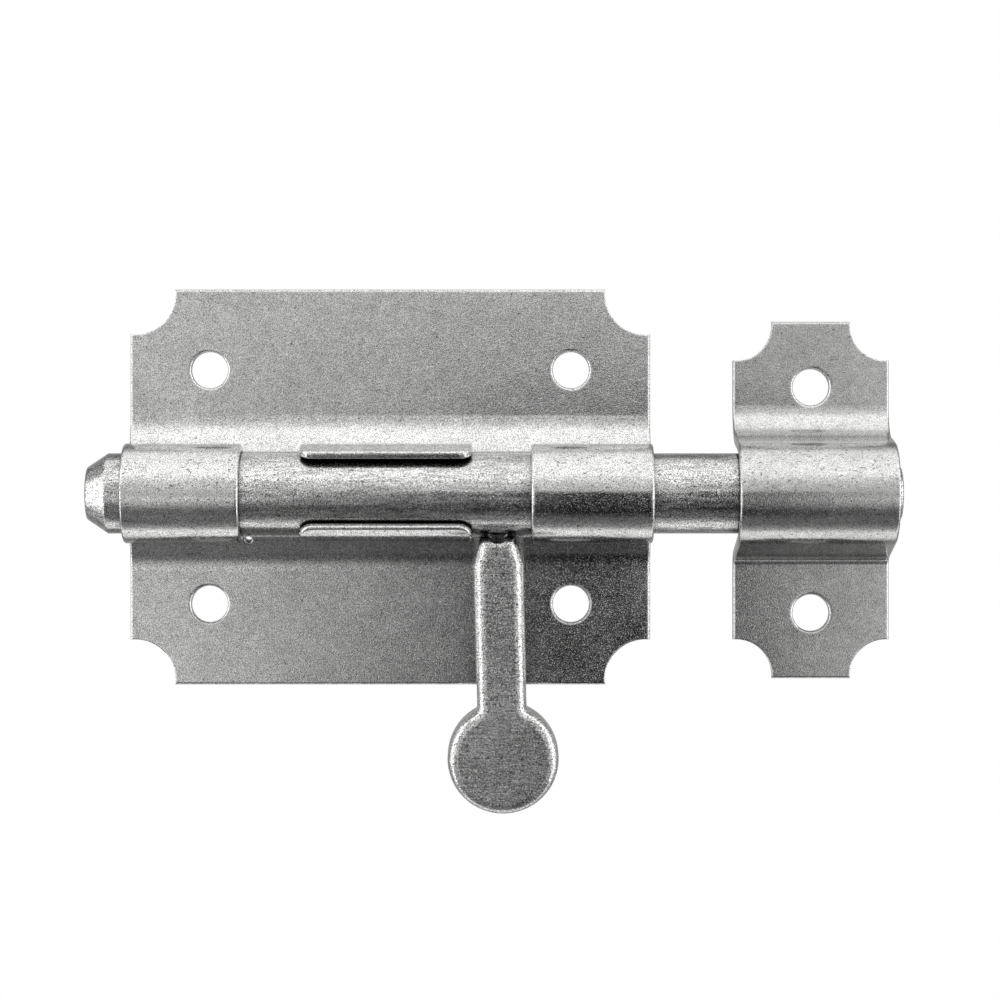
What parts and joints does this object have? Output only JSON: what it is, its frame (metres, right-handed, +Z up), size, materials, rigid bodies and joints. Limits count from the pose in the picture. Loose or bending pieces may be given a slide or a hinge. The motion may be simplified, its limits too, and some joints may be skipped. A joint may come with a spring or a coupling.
{
  "type": "door bolt",
  "caption": "Surface door bolt: a round bolt turns and slides in guides rolled from a scalloped pressed plate, is locked by a drop handle and enters a bent strap keeper.",
  "frame": {"origin": "middle of the plate's four screw holes, on the door face", "axes": "+X along the bolt towards the keeper, +Y into the door, +Z up"},
  "size_m": [0.154, 0.0209, 0.1004],
  "materials": {
    "plate_sheet": "bright zinc plated sheet, fine pressed grain",
    "keeper_sheet": "bright zinc plated sheet, fine pressed grain",
    "bolt_bar": "zinc plated drawn bar, streaked along its length",
    "handle_metal": "zinc plated, tumbled grain with bright rounded edges"
  },
  "bodies": {
    "base": {"base_plate": "plate_sheet", "keeper": "keeper_sheet"},
    "bolt": {"bolt_rod": "bolt_bar"},
    "lever": {"handle": "handle_metal"}
  },
  "joints": [
    {"name": "bolt_slide", "type": "slide", "parent": "base", "child": "bolt", "axis": [1, 0, 0], "range_m": [-0.0008, 0.0024]},
    {"name": "handle_turn", "type": "hinge", "parent": "bolt", "child": "lever", "pos_m": [0.0205, -0.011, -0.00125], "axis": [-1, 0, 0], "range_deg": [0, 192]}
  ]
}
